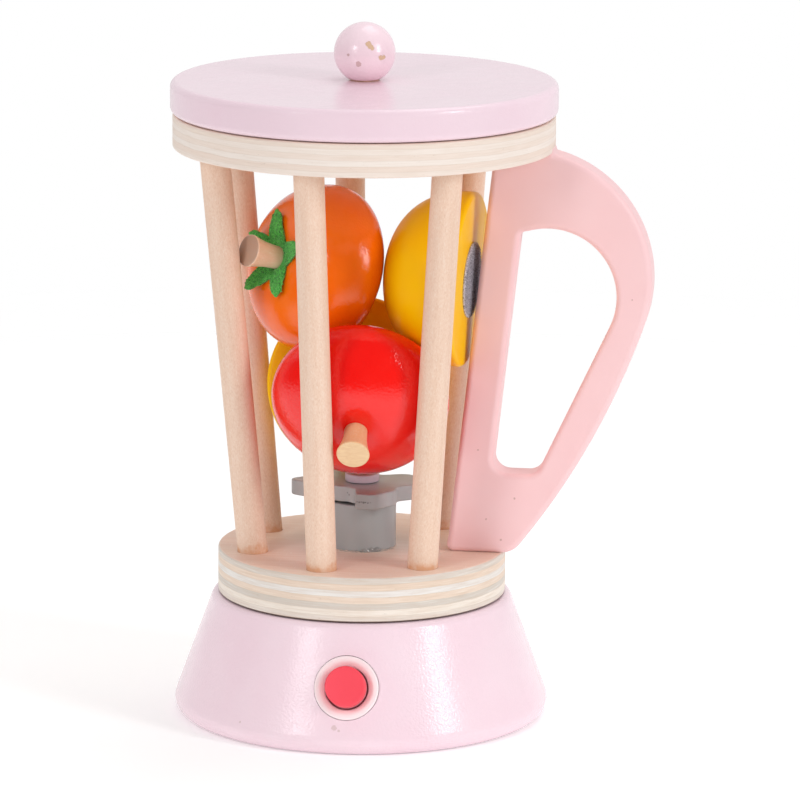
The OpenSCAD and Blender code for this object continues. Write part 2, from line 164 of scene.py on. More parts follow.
def board(outer, hole, low, high, r, steps=4):
    """A board between two levels, with a counterclockwise outline and a clockwise hole, and
    every edge rounded: at angle t the wall stands in by r (1 - cos t), at r sin t past the
    start of its rounding."""
    t = np.linspace(0, math.pi / 2, steps + 1)
    inward, past = r * (1 - np.cos(t)), r * np.sin(t)
    levels = path(
        (r + 0.3, low), np.column_stack([inward, low + r - past])[::-1],
        (0, low + r + 0.1), (0, high - r - 0.1),
        np.column_stack([inward, high - r + past]), (r + 0.3, high))
    verts, faces, rims = [], [], []
    for loop in (outer, hole):
        rows = [np.column_stack([inset(loop, stand_in), np.full(len(loop), z)])
                for stand_in, z in levels]
        index = sum(map(len, verts)) + np.arange(len(levels) * len(loop)).reshape(len(levels), -1)
        verts.append(np.vstack(rows))
        faces.append(strips(index))
        rims.append(index[[0, -1]])
    verts = np.vstack(verts)
    for side in (0, 1):
        rim = [index[side] for index in rims]
        flat = [(verts[index] * [1, 1, 0]).tolist() for index in rim]
        cap = np.concatenate(rim)[np.array(tessellate_polygon(flat))]
        a, b, c = (verts[cap[:, i], :2] for i in range(3))
        area = (b - a)[:, 0] * (c - a)[:, 1] - (b - a)[:, 1] * (c - a)[:, 0]
        outward = (area > 0) == (side == 1)
        cap = np.where(outward[:, None], cap, cap[:, [0, 2, 1]])[np.abs(area) > 1e-9]
        faces.append(cap[:, [0, 1, 2, 2]])
    return verts, np.vstack(faces)


# ------------------------------------------------------------------ materials


def linear(code):
    """An sRGB hex colour as linear red, green, blue and alpha."""
    out = []
    for i in (0, 2, 4):
        c = int(code[i : i + 2], 16) / 255
        out.append(c / 12.92 if c <= 0.04045 else ((c + 0.055) / 1.055) ** 2.4)
    return (*out, 1.0)


def add(tree, kind, values=None, out=0):
    """Adds a node and gives one of its outputs. A value sets a property or an input by its
    name or number. An input takes a number, a vector, a hex colour or an output to link."""
    node = tree.nodes.new("ShaderNode" + kind)
    for key, value in (values or {}).items():
        if isinstance(key, str) and hasattr(node, key):
            setattr(node, key, value)
        elif isinstance(value, bpy.types.NodeSocket):
            tree.links.new(value, node.inputs[key])
        else:
            node.inputs[key].default_value = linear(value) if isinstance(value, str) else value
    return node.outputs[out] if node.outputs else None


COLOURS = {"data_type": "RGBA"}


def surface(name):
    """A new material with a Principled shader, its tree and the shader node."""
    material = bpy.data.materials.new(name)
    material.use_nodes = True
    tree = material.node_tree
    tree.nodes.clear()
    finish = add(tree, "BsdfPrincipled")
    add(tree, "OutputMaterial", {"Surface": finish})
    return material, tree, finish.node


def coordinates(tree, own, stretch=(1, 1, 1)):
    """Positions in metres: the piece's own attribute, or the object's, each axis stretched."""
    if own:
        source = add(tree, "Attribute", {"attribute_name": "own"}, "Vector")
    else:
        source = add(tree, "TexCoord", out="Object")
    return add(tree, "Mapping", {"Scale": stretch, "Vector": source})


def height_of(tree, own):
    """Height in metres, in the piece's own frame or in the row frame."""
    return add(tree, "SeparateXYZ", {"Vector": coordinates(tree, own)}, "Z")


def spots(tree, where, marks, ragged_mm=1.2):
    """A mask that is 1 inside ragged patches round chosen points (x, y, z, radius)."""
    ragged = add(tree, "TexNoise", {
        "Vector": where, "Scale": 1000 / ragged_mm, "Detail": 3, "Roughness": 0.6})
    ragged = add(tree, "Math", {"operation": "ADD", 0: ragged, 1: 0.35})
    share = 0.0
    for x, y, z, r in marks:
        away = add(tree, "VectorMath", {
            "operation": "DISTANCE", 0: where, 1: (x * MM, y * MM, z * MM)}, "Value")
        reach = add(tree, "Math", {"operation": "MULTIPLY", 0: ragged, 1: 1.25 * r * MM})
        inside = add(tree, "Math", {"operation": "SUBTRACT", 0: reach, 1: away})
        patch = add(tree, "MapRange", {"Value": inside, "From Min": 0, "From Max": 0.12 * MM})
        share = add(tree, "Math", {"operation": "MAXIMUM", 0: patch, 1: share})
    return share


def paint(name, code, shade, rough=0.3, peel_mm=1.1, peel_depth=0.012, wave_depth=0.03, own=True,
          chips=(), bare_wood_and_highlight="D9B78F", marks=(), mark="B98F86", bare_wood_and_highlight_below=None, mirror=0.5):
    """Sprayed paint on wood: an orange-peel skin of small dimples over slow waves, and a
    colour that drifts a little towards a second shade. Chips show the wood, marks are
    small dark scuffs, and below a height the paint gives way to a second tone: unpainted
    wood on the knob, a painted highlight on the button's side. The mirror
    value is the strength of its reflections."""
    material, tree, shader = surface(name)
    where = coordinates(tree, own)
    drift = add(tree, "TexNoise", {
        "Vector": where, "Scale": 1000 / 22, "Detail": 2, "Roughness": 0.55})
    drift = add(tree, "MapRange", {"Value": drift, "From Min": 0.35, "From Max": 0.7})
    colour = add(tree, "Mix", {**COLOURS, 0: drift, 6: code, 7: shade}, 2)
    peel = add(tree, "TexNoise", {
        "Vector": where, "Scale": 1000 / peel_mm, "Detail": 2, "Roughness": 0.5})
    slow = add(tree, "TexNoise", {
        "Vector": where, "Scale": 1000 / 9, "Detail": 2, "Roughness": 0.5})
    normal = add(tree, "Bump", {"Height": slow, "Distance": wave_depth * MM})
    normal = add(tree, "Bump", {"Height": peel, "Distance": peel_depth * MM, "Normal": normal})
    gloss = add(tree, "TexNoise", {
        "Vector": where, "Scale": 1000 / 5, "Detail": 3, "Roughness": 0.55})
    gloss = add(tree, "MapRange", {
        "Value": gloss, "From Min": 0.3, "From Max": 0.7, "To Min": rough * 0.88,
        "To Max": rough * 1.15})
    if marks:
        share = add(tree, "Math", {
            "operation": "MULTIPLY", 0: spots(tree, where, marks, 0.7), 1: 0.6})
        colour = add(tree, "Mix", {**COLOURS, 0: share, 6: colour, 7: mark}, 2)
    if chips or bare_wood_and_highlight_below is not None:
        share = spots(tree, where, chips) if chips else 0.0
        # Below a height the second tone takes over: unpainted wood at the knob's foot, a painted
        # highlight on the button's side
        if bare_wood_and_highlight_below is not None:
            low = add(tree, "MapRange", {
                "Value": height_of(tree, own), "From Min": bare_wood_and_highlight_below * MM,
                "From Max": (bare_wood_and_highlight_below + 0.25) * MM, "To Min": 1, "To Max": 0})
            share = add(tree, "Math", {"operation": "MAXIMUM", 0: low, 1: share})
        colour = add(tree, "Mix", {**COLOURS, 0: share, 6: colour, 7: bare_wood_and_highlight}, 2)
        duller = add(tree, "Math", {"operation": "MULTIPLY", 0: share, 1: 0.3})
        gloss = add(tree, "Math", {"operation": "ADD", 0: gloss, 1: duller})
        skin = add(tree, "Math", {"operation": "SUBTRACT", 0: 1.0, 1: share})
        normal = add(tree, "Bump", {"Height": skin, "Distance": 0.12 * MM, "Normal": normal})
    tree.links.new(colour, shader.inputs["Base Color"])
    tree.links.new(normal, shader.inputs["Normal"])
    tree.links.new(gloss, shader.inputs["Roughness"])
    shader.inputs["Specular IOR Level"].default_value = mirror
    return material


def timber(name, pale, dark, pore, own=True, rough=0.55, pores=0.26, end=None, end_at=0.0,
           painted_foot_shade=None):
    """Sanded wood: long soft streaks and short darker pores, both drawn out along +Z. Past
    end_at its end grain shows, in a tone of its own, and its foot may get painted shade, darker
    towards the floor."""
    material, tree, shader = surface(name)
    streak = add(tree, "TexNoise", {
        "Vector": coordinates(tree, own, (1, 1, 0.06)), "Scale": 1000 / 2.4, "Detail": 4,
        "Roughness": 0.6, "Distortion": 0.3})
    streak = add(tree, "MapRange", {"Value": streak, "From Min": 0.3, "From Max": 0.72})
    colour = add(tree, "Mix", {**COLOURS, 0: streak, 6: pale, 7: dark}, 2)
    flecks = add(tree, "TexNoise", {
        "Vector": coordinates(tree, own, (1, 1, 0.4)), "Scale": 1000 / 0.36, "Detail": 3,
        "Roughness": 0.6})
    fleck = add(tree, "MapRange", {
        "Value": flecks, "From Min": 0.53, "From Max": 0.68, "To Min": 0, "To Max": pores})
    colour = add(tree, "Mix", {**COLOURS, 0: fleck, 6: colour, 7: pore}, 2)
    light = add(tree, "MapRange", {
        "Value": flecks, "From Min": 0.46, "From Max": 0.34, "To Min": 0, "To Max": 0.3})
    colour = add(tree, "Mix", {**COLOURS, 0: light, 6: colour, 7: "F8EDE4"}, 2)
    # Painted shade at the foot: unevenly darker up to a few millimetres above the floor it stands in
    if painted_foot_shade:
        uneven = add(tree, "TexNoise", {
            "Vector": coordinates(tree, own), "Scale": 1000 / 3, "Detail": 3, "Roughness": 0.55})
        uneven = add(tree, "Math", {"operation": "MULTIPLY", 0: uneven, 1: 9 * MM})
        foot = add(tree, "Math", {"operation": "SUBTRACT", 0: height_of(tree, own), 1: uneven})
        foot = add(tree, "MapRange", {
            "Value": foot, "From Min": -4.5 * MM, "From Max": -1.5 * MM, "To Min": 0.75,
            "To Max": 0})
        colour = add(tree, "Mix", {**COLOURS, 0: foot, 6: colour, 7: painted_foot_shade}, 2)
    if end:
        rings = add(tree, "TexNoise", {
            "Vector": coordinates(tree, own, (1, 0.25, 1)), "Scale": 1000 / 1.1, "Detail": 4,
            "Roughness": 0.65, "Distortion": 0.8})
        rings = add(tree, "MapRange", {
            "Value": rings, "From Min": 0.35, "From Max": 0.65, "To Min": 0, "To Max": 0.35})
        face = add(tree, "Mix", {**COLOURS, 0: rings, 6: end, 7: pore}, 2)
        share = add(tree, "MapRange", {
            "Value": height_of(tree, own), "From Min": (end_at - 0.25) * MM,
            "From Max": (end_at - 0.05) * MM})
        colour = add(tree, "Mix", {**COLOURS, 0: share, 6: colour, 7: face}, 2)
    normal = add(tree, "Bump", {"Height": flecks, "Distance": 0.03 * MM, "Strength": 0.7})
    tree.links.new(colour, shader.inputs["Base Color"])
    tree.links.new(normal, shader.inputs["Normal"])
    shader.inputs["Roughness"].default_value = rough
    return material


def plywood(name, low_mm, thick_mm, plies, face, face_dark, streaks=0.35, gap_shade_mm=0.0):
    """Birch plywood: plies seen on the edge, with fine level streaks, a few dark cracks and
    thin glue lines, and long grain with fine scratches on the flat faces. Its lower rim may
    get a dark band of painted shade, for the gap beneath it."""
    material, tree, shader = surface(name)
    # Height above the underside, as a share of the thickness, wandering by half a millimetre
    above = add(tree, "Math", {"operation": "SUBTRACT", 0: height_of(tree, False), 1: low_mm * MM})
    wander = add(tree, "TexNoise", {
        "Vector": coordinates(tree, False, (1, 1, 0.2)), "Scale": 1000 / 16, "Detail": 3,
        "Roughness": 0.55})
    wander = add(tree, "Math", {"operation": "SUBTRACT", 0: wander, 1: 0.5})
    wander = add(tree, "Math", {"operation": "MULTIPLY", 0: wander, 1: 0.9 * MM})
    level = add(tree, "Math", {"operation": "ADD", 0: above, 1: wander})
    level = add(tree, "Math", {"operation": "DIVIDE", 0: level, 1: thick_mm * MM})
    side = add(tree, "ValToRGB", {"Fac": level})
    band = side.node.color_ramp
    band.interpolation = "CONSTANT"
    while len(band.elements) < len(plies):
        band.elements.new(1.0)
    for i, tone in enumerate(plies):
        band.elements[i].position = i / len(plies)
        band.elements[i].color = linear(tone)
    # Streaks and cracks along the edge, and glue between the plies
    thin = add(tree, "TexNoise", {
        "Vector": coordinates(tree, False, (0.12, 0.12, 2.2)), "Scale": 1000 / 1.3, "Detail": 4,
        "Roughness": 0.6})
    for to, tone in ((0.7, "C7A98B"), (0.25, "FBF6EE")):
        share = add(tree, "MapRange", {
            "Value": thin, "From Min": 0.42, "From Max": to, "To Min": 0, "To Max": streaks})
        side = add(tree, "Mix", {**COLOURS, 0: share, 6: side, 7: tone}, 2)
    torn = add(tree, "TexNoise", {
        "Vector": coordinates(tree, False, (0.35, 0.35, 3)), "Scale": 1000 / 0.9, "Detail": 3,
        "Roughness": 0.7})
    crack = add(tree, "MapRange", {
        "Value": torn, "From Min": 0.66, "From Max": 0.74, "To Min": 0, "To Max": 0.4})
    side = add(tree, "Mix", {**COLOURS, 0: crack, 6: side, 7: "8E7A62"}, 2)
    seam = add(tree, "Math", {"operation": "MULTIPLY", 0: level, 1: float(len(plies))})
    seam = add(tree, "Math", {"operation": "FRACT", 0: seam})
    seam = add(tree, "Math", {"operation": "SUBTRACT", 0: seam, 1: 0.5})
    seam = add(tree, "Math", {"operation": "ABSOLUTE", 0: seam})
    seam = add(tree, "MapRange", {
        "Value": seam, "From Min": 0.43, "From Max": 0.5, "To Min": 0, "To Max": 0.16})
    side = add(tree, "Mix", {**COLOURS, 0: seam, 6: side, 7: "A98E70"}, 2)
    # Grain and scratches of the flat faces
    grain = add(tree, "TexNoise", {
        "Vector": coordinates(tree, False, (0.05, 1, 1)), "Scale": 1000 / 1.6, "Detail": 5,
        "Roughness": 0.62, "Distortion": 0.4})
    grain = add(tree, "MapRange", {"Value": grain, "From Min": 0.3, "From Max": 0.75})
    flat = add(tree, "Mix", {**COLOURS, 0: grain, 6: face, 7: face_dark}, 2)
    scratch = add(tree, "TexNoise", {
        "Vector": coordinates(tree, False, (0.7, 0.06, 1)), "Scale": 1000 / 0.35, "Detail": 2,
        "Roughness": 0.55})
    scratch = add(tree, "MapRange", {
        "Value": scratch, "From Min": 0.64, "From Max": 0.72, "To Min": 0, "To Max": 0.3})
    flat = add(tree, "Mix", {**COLOURS, 0: scratch, 6: flat, 7: "FBF0E8"}, 2)
    # Flat faces show where the surface looks up or down
    up = add(tree, "SeparateXYZ", {"Vector": add(tree, "NewGeometry", out="Normal")}, "Z")
    up = add(tree, "Math", {"operation": "ABSOLUTE", 0: up})
    up = add(tree, "MapRange", {"Value": up, "From Min": 0.75, "From Max": 0.9})
    colour = add(tree, "Mix", {**COLOURS, 0: up, 6: side, 7: flat}, 2)
    # Painted shade: a dark band along the lower rim stands in for the shadowed gap between the floor
    # and the base
    if gap_shade_mm:
        rim = add(tree, "MapRange", {
            "Value": above, "From Min": 0.6 * gap_shade_mm * MM, "From Max": gap_shade_mm * MM,
            "To Min": 0.85, "To Max": 0})
        colour = add(tree, "Mix", {**COLOURS, 0: rim, 6: colour, 7: "5B3F2A"}, 2)
    normal = add(tree, "Bump", {"Height": torn, "Distance": 0.05 * MM, "Strength": 0.5})
    tree.links.new(colour, shader.inputs["Base Color"])
    tree.links.new(normal, shader.inputs["Normal"])
    shader.inputs["Roughness"].default_value = 0.5
    return material


def felt(name, code, shade, deep):
    """Matted fibres: tufts in two tones, with dark hollows and a soft sheen."""
    material, tree, shader = surface(name)
    where = coordinates(tree, True)
    tufts = add(tree, "TexNoise", {
        "Vector": where, "Scale": 1000 / 0.7, "Detail": 4, "Roughness": 0.7, "Distortion": 0.6})
    share = add(tree, "MapRange", {"Value": tufts, "From Min": 0.42, "From Max": 0.56})
    colour = add(tree, "Mix", {**COLOURS, 0: share, 6: shade, 7: code}, 2)
    hollow = add(tree, "TexNoise", {
        "Vector": where, "Scale": 1000 / 1.6, "Detail": 4, "Roughness": 0.75, "Distortion": 1.0})
    hollow = add(tree, "MapRange", {
        "Value": hollow, "From Min": 0.44, "From Max": 0.34, "To Min": 0, "To Max": 0.85})
    colour = add(tree, "Mix", {**COLOURS, 0: hollow, 6: colour, 7: deep}, 2)
    normal = add(tree, "Bump", {"Height": tufts, "Distance": 0.5 * MM})
    tree.links.new(colour, shader.inputs["Base Color"])
    tree.links.new(normal, shader.inputs["Normal"])
    shader.inputs["Roughness"].default_value = 0.9
    shader.inputs["Specular IOR Level"].default_value = 0.25
    shader.inputs["Sheen Weight"].default_value = 0.3
    return material


def plain(name, code, rough, metal=0.0, clear=0.0, own=True):
    """An even finish with a little variation in its gloss."""
    material, tree, shader = surface(name)
    shader.inputs["Base Color"].default_value = linear(code)
    shader.inputs["Metallic"].default_value = metal
    shader.inputs["Transmission Weight"].default_value = clear
    where = coordinates(tree, own)
    gloss = add(tree, "TexNoise", {
        "Vector": where, "Scale": 1000 / 2, "Detail": 3, "Roughness": 0.55})
    gloss = add(tree, "MapRange", {
        "Value": gloss, "From Min": 0.3, "From Max": 0.7, "To Min": rough * 0.9,
        "To Max": rough * 1.1})
    skin = add(tree, "TexNoise", {
        "Vector": where, "Scale": 1000 / 0.8, "Detail": 2, "Roughness": 0.55})
    normal = add(tree, "Bump", {"Height": skin, "Distance": 0.006 * MM})
    tree.links.new(gloss, shader.inputs["Roughness"])
    tree.links.new(normal, shader.inputs["Normal"])
    return material


# Pale pink gloss of the base and the lid, with a small scuff under the button
PINK = paint(
    "pale_pink_paint", "F5DDE6", "F4D9E3", rough=0.16, peel_mm=0.85, peel_depth=0.105, own=False,
    mirror=0.34, mark="D3B9B6",
    marks=[(-0.4, -60.9, 9.4, 0.9), (1.2, -61.3, 8.6, 0.5), (-32.7, -52.1, 7.7, 0.4)],
)
LID_PINK = paint(
    "pale_pink_paint_lid", "F2D9E3", "F1D6E1", rough=0.2, peel_mm=0.9, peel_depth=0.06, own=False
)
# The same paint on the knob, chipped down to the wood and dented
KNOB_PINK = paint(
    "pale_pink_paint_knob", "F8DFE7", "F7DAE3", rough=0.2, peel_mm=1.3, peel_depth=0.09,
    bare_wood_and_highlight="DDB999", chips=[(2.5, -9.1, 13.4, 0.9), (3.7, -9.0, 11.7, 0.7), (3.2, -9.2, 12.6, 0.9),
           (6.5, -7.7, 8.6, 0.9), (7.3, -7.0, 8.8, 0.7)],
    marks=[(-0.7, -9.8, 6.6, 0.9), (-4.2, -9.2, 9.5, 0.5)], bare_wood_and_highlight_below=0.35,
)
# Warm satin pink of the handle board, with a few pinprick dents
HANDLE_PINK = paint(
    "warm_pink_satin_paint", "F8CFD1", "F6CACC", rough=0.42, peel_mm=1.6, peel_depth=0.01,
    marks=[(51.7, 18.9, 6, 0.4), (42.3, 11.5, 6, 0.35), (47.3, 4.7, 6, 0.4), (51.0, 42.2, 6, 0.3),
           (39.4, 34.9, 6, 0.3), (89.7, 87.0, 6, 0.3)],
)
# The same pale pink on the turned bezel
BEZEL_PINK = paint("bezel_pink_paint", "FEEDEF", "FDEAEC", rough=0.35)
# Coral red of the push button, with a painted highlight: its side is painted paler pink
CORAL = paint("coral_matte_paint", "FF4C5E", "FA4556", rough=0.5, peel_mm=0.7, peel_depth=0.02,
              bare_wood_and_highlight="F3A3AE", bare_wood_and_highlight_below=3.7)
# Glossy fruit colours
ORANGE = paint("orange_gloss_paint", "FF760A", "FE6D06", rough=0.09, peel_mm=0.8,
               peel_depth=0.1, mirror=0.55)
RED = paint("red_gloss_paint", "FB1A11", "F6110A", rough=0.09, peel_mm=0.8,
            peel_depth=0.1, mirror=0.65)
YELLOW = paint("yellow_satin_paint", "FFCA00", "FFC200", rough=0.34, peel_mm=1.6,
               peel_depth=0.012, mirror=0.15)
# Grey of the hub and the cutter, whose edge shows the seam between its plies as fine pits
GREY = paint("grey_paint", "ACB0B1", "A3A6A8", rough=0.32, peel_mm=0.9, peel_depth=0.03)
CUTTER_GREY = paint(
    "grey_paint_cutter", "B4B5B6", "A9AAAB", rough=0.32, peel_mm=0.9, peel_depth=0.04,
    marks=[(-3.0, -10.0, 2.6, 0.35), (-3.6, -9.7, 3.2, 0.25), (1.0, -19.4, 2.5, 0.3),
           (1.7, -19.6, 2.45, 0.35), (2.4, -19.6, 2.55, 0.3), (3.2, -19.7, 2.4, 0.4),
           (3.9, -19.8, 2.5, 0.3), (4.7, -19.9, 2.4, 0.3), (5.5, -20.0, 2.5, 0.25)], mark="3A3634",
)
# Beech dowels, with painted shade at their feet, and the browner beech of the fruit stems
BEECH = timber("beech_dowel", "EFD2BD", "E8C6AE", "C99A7A", painted_foot_shade="DD9F72")
BEECH_PIN = timber("beech_pin", "EFD2BD", "E8C6AE", "C99A7A", own=False)
PERSIMMON_STEM = timber(
    "beech_stem_persimmon", "F3D2B6", "EAC3A4", "C79A78", rough=0.28, pores=0.08,
    end="BFA18F", end_at=PERSIMMON_STEM_END,
)
APPLE_STEM = timber(
    "beech_stem_apple", "EFC294", "E8B685", "D39E6C", rough=0.32, pores=0.08,
    end="F0CFA4", end_at=APPLE_STEM_END,
)
# Birch plywood of the jug floor, seven plies, with painted shade along its lower rim, and of the ring
# under the lid
FLOOR_PLY = plywood(
    "birch_plywood_floor", FLOOR_LOW, FLOOR_TOP - FLOOR_LOW,
    ["E5DACF", "F0E6DA", "D6CDC3", "EAD7C5", "EAE5E0", "E8D3C0", "DCD2C8"], "F4DDCD", "EDCFBB",
    gap_shade_mm=0.55,
)
RING_PLY = plywood(
    "birch_plywood_ring", RING_LOW, RING_TOP - RING_LOW,
    ["F2E3D8", "EFDDD0", "F4E8DF", "F0E0D4", "F3E6DC", "EFDED1"], "F3E0D2", "EACFB9", 0.16,
)
PLUG_PLY = plywood(
    "birch_plywood_plug", PLUG_LOW, LID_LOW - PLUG_LOW, ["EFE4D6", "EADCCB", "F2E9DD"], "F1DFCF",
    "E8CDB5", 0.25,
)
STEEL = plain("zinc_plated_steel", "B9BABD", 0.35, 1.0, own=False)
STEEL_WIRE = plain("steel_spring_wire", "A9AAAE", 0.3, 1.0)
AXLE = plain("pale_lilac_plastic", "E0D2DE", 0.4)
HOOKS = felt("grey_hook_tape", "E6E1EA", "A19BA8", "5C5762")
GLUE = plain("clear_wood_glue", "FDFCFA", 0.05, clear=0.8)
FELT = felt("green_felt", "6BDD60", "35A63C", "12381A")
FUZZ = felt("green_felt_fibres", "86E87C", "5CC75C", "2F8A38")

# ------------------------------------------------------------------ pieces kept from the CAD


def dress(node, material):
    """A CAD node with a finish put in all its slots."""
    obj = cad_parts[node]
    if not obj.data.materials:
        obj.data.materials.append(material)
    for i in range(len(obj.data.materials)):
        obj.data.materials[i] = material
    return obj


for node, material in {
    "base_body": PINK, "locating_peg": BEECH_PIN,
    "jug_floor": FLOOR_PLY, "jug_ring": RING_PLY, "handle_screws": STEEL,
    "hub_screw": STEEL, "blade_washer": STEEL,
    "lid_disc": LID_PINK, "lid_plug": PLUG_PLY, "knob_pin": BEECH_PIN,
}.items():
    dress(node, material)

# ------------------------------------------------------------------ new pieces


def stand_for(obj, body, slot, *nodes):
    """Lets a new piece ride on a body and hides the CAD nodes that it stands for. Its slot, the name
    of a finish, is not used.
    """
    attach(obj, body)
    if nodes:
        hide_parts(*nodes)
    return obj


def on_cone():
    """Turn and shift from the button's own frame, with +Z out of the cone side."""
    a = math.radians(BUTTON_AZIMUTH)
    r = CONE_R - BUTTON_Z * math.tan(math.radians(CONE_LEAN))
    return rotation(BUTTON_AZIMUTH, CONE_LEAN), (r * math.cos(a), r * math.sin(a), BUTTON_Z)


turn, shift = on_cone()
t = np.linspace(0.05, 0.95, 12)
dished = np.column_stack([9.35 - 2.2 * t, 0.3 - 1.5 * t * t])
bezel = path(
    (7.15, -5.0), (10.4, -5.0), (10.55, -4.85), (10.55, -0.45), arc(9.95, -0.3, 0.6, 0, 90, 6),
    dished, arc(7.4, -1.3, 0.25, 110, 180, 4), (7.15, -1.6), (7.15, -4.8))
stand_for(make("bezel", turned(bezel, 96, closed=True), BEZEL_PINK, turn, shift), "base",
          "bezel_paint", "button_ring")


def coil(radius, wire, low, high, turns, steps=44):
    """A round wire of ten sides along a helix whose pitch is small at both ends: its height
    at share t is low + (high - low) (t - sin(2 pi t) / 2 pi)."""
    t = np.linspace(0, 1, int(turns * steps) + 1)[:, None]
    a, b = 2 * np.pi * turns * t, np.radians(np.arange(0, 360, 36))
    z = low + (high - low) * (t - np.sin(2 * np.pi * t) / (2 * np.pi)) + wire * np.sin(b)
    r = radius + wire * np.cos(b)
    index = np.arange(z.size).reshape(z.shape)
    cap = np.array([[0, i, i + 1, i + 2] for i in (1, 3, 5, 7)])
    faces = np.vstack([strips(index)[:, [0, 3, 2, 1]], index[0][cap], index[-1][::-1][cap]])
    return np.stack([r * np.cos(a), r * np.sin(a), z], 2).reshape(-1, 3), faces


spring = stand_for(
    make("coil_spring", coil(5.4, 0.58, -16.2, -8.4, 4.4), STEEL_WIRE, turn, shift), "base",
    "steel", "button_spring")
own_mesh(spring)
# The button rests high and to the left in its loose hole, as photographed
aside = turn @ np.array([-0.17, -0.09, 0])
button = path(
    (0, -7.8), (8.7, -7.8), (8.8, -7.7), (8.8, -5.4), (8.7, -5.3), (6.75, -5.3), (6.65, -5.2),
    (6.65, 3.7), arc(5.95, 3.9, 0.7, 0, 80, 8), (5.6, 4.6), (3, 4.6), (0, 4.6))
stand_for(make("button_head", turned(button, 96), CORAL, turn, shift + aside, seed=0.02), "button",
          "button_paint", "push_button")

# The dowels lean outwards, and their chamfered ends are sunk in the floor and the ring
CHAMFER = 0.5
lean = math.degrees(math.atan((DOWEL_HEAD - DOWEL_FOOT) / CLEAR))
span = CLEAR / math.cos(math.radians(lean))
low, high = -DOWEL_SUNK, span + DOWEL_SUNK
z = np.linspace(low + CHAMFER, high - CHAMFER, 24)
dowel = path((0, low), (DOWEL_R - CHAMFER, low), np.column_stack([np.full(24, DOWEL_R), z]),
             (DOWEL_R - CHAMFER, high), (0, high))
for i, azimuth in enumerate(DOWEL_AZIMUTHS):
    a = math.radians(azimuth)
    foot = (DOWEL_FOOT * math.cos(a), DOWEL_FOOT * math.sin(a), FLOOR_TOP)
    stand_for(
        make(f"dowel_rod_{i + 1}", turned(dowel, 72), BEECH, rotation(azimuth, 90 - lean), foot),
        "jug", "beech", f"dowel_{i + 1}")


def handle_outlines():
    """The board's outline, counterclockwise, and its finger hole, clockwise, as distance from
    the axis and height above the floor. The grip is one arc, tangent to a slack arc that runs
    to the heel. The top runs 2.2 mm into the ring."""
    rise, grip, slack, heel, turn_at = 41.8, 43.1, 249.0, 7.5, math.radians(-18)
    cx, cz = 53.0, CLEAR - rise
    sx, sz = cx + (grip - slack) * math.cos(turn_at), cz + (grip - slack) * math.sin(turn_at)
    stop = math.degrees(math.asin((heel - sz) / (slack - heel)))
    hx = sx + (slack - heel) * math.cos(math.radians(stop))
    up = math.degrees(math.asin(rise / grip))
    top = CLEAR + 2.2
    hole_x, hole_z, hole_r, hole_foot, rail = 61.8, CLEAR - 47.5, 22.6, 32, 11.7

    def inner(z):
        return 29.1 + (43.6 - 29.1) * z / CLEAR

    z = np.linspace(CLEAR - 4, 6, 12)
    outer = path(
        arc(inner(0) + 2.4, 2.4, 2.4, 184, 270, 6), arc(hx, heel, heel, -90, stop, 10),
        arc(sx, sz, slack, stop + 0.6, -18.6, 26), arc(cx, cz, grip, -17, up, 56),
        (cx + grip * math.cos(math.radians(up)) - 0.8, top), (inner(CLEAR), top),
        np.column_stack([inner(z), z]))
    low, high = inner(hole_foot) + rail, inner(hole_z + hole_r - 3) + rail
    z = np.linspace(102, 34, 12)
    hole = path(
        arc(low + 5, hole_foot, 5, 180, 270, 8), arc(55.6, hole_foot, 5, -90, -30, 6),
        arc(hole_x, hole_z, hole_r, -25.5, 107, 46),
        arc(high + 2.6, hole_z + hole_r - 3.6, 2.6, 112, 176, 7),
        np.column_stack([inner(z) + rail, z]))
    return outer, hole[::-1]


upright = np.array([[1, 0, 0], [0, 0, -1], [0, 1, 0]])
stand_for(
    make("handle_board", board(*handle_outlines(), -6, 6, 1.9, 6), HANDLE_PINK, upright,
         (0, 0, FLOOR_TOP)),
    "jug", "handle_paint", "handle")

hub = path(
    (0, FLOOR_TOP), (HUB_R - 0.42, FLOOR_TOP), arc(HUB_R - 0.3, FLOOR_TOP + 0.3, 0.3, -90, 0, 6),
    (HUB_R, FLOOR_TOP + 0.42), (HUB_R, HUB_TOP - 0.62),
    arc(HUB_R - 0.5, HUB_TOP - 0.5, 0.5, 0, 90, 6), (HUB_R - 0.62, HUB_TOP), (3.1, HUB_TOP),
    (3.1, 66), (0, 66))
stand_for(make("hub", turned(hub, 128), GREY), "jug", "grey_paint", "blade_hub")
axle = path(
    (0, 64.1), (2.9, 64.1), (3.0, 64.2), (3.0, 78.3), (3.1, 78.4), (5.4, 78.4), (5.7, 78.6),
    (5.7, 80.5), arc(5.2, 80.6, 0.5, 0, 80, 6), (4.8, 81.1), (0, 81.1))
stand_for(make("axle_pin", turned(axle, 72), AXLE), "jug", "axle_plastic", "blade_axle")

# The cutter's outline: direction from the handle in degrees, and share of its longest lobe.
# Between two knots the share eases as (1 - cos(pi t)) / 2.
KNOTS = np.array([
    (11.5, 1), (38, 0.82), (65, 0.5), (85, 0.61), (100, 0.92), (118, 0.92), (145, 0.64),
    (165, 0.86), (179.5, 1), (197, 0.76), (231, 0.47), (249.5, 0.43), (265.5, 0.49),
    (273, 0.82), (288, 0.87), (308, 0.77), (333.5, 0.62), (354.5, 0.75)])
step = np.roll(KNOTS, -1, 0) - KNOTS
step[-1, 0] += 360
t = np.arange(0, 1, 1 / 8)
a = np.radians(KNOTS[:, :1] + step[:, :1] * t)
r = CUTTER_REACH * (KNOTS[:, 1:] + step[:, 1:] * (1 - np.cos(np.pi * t)) / 2)
outline = np.stack([r * np.cos(a), r * np.sin(a)], 2).reshape(-1, 2)
bore = arc(0, 0, 3.08, 360, 0, 40)[:-1]
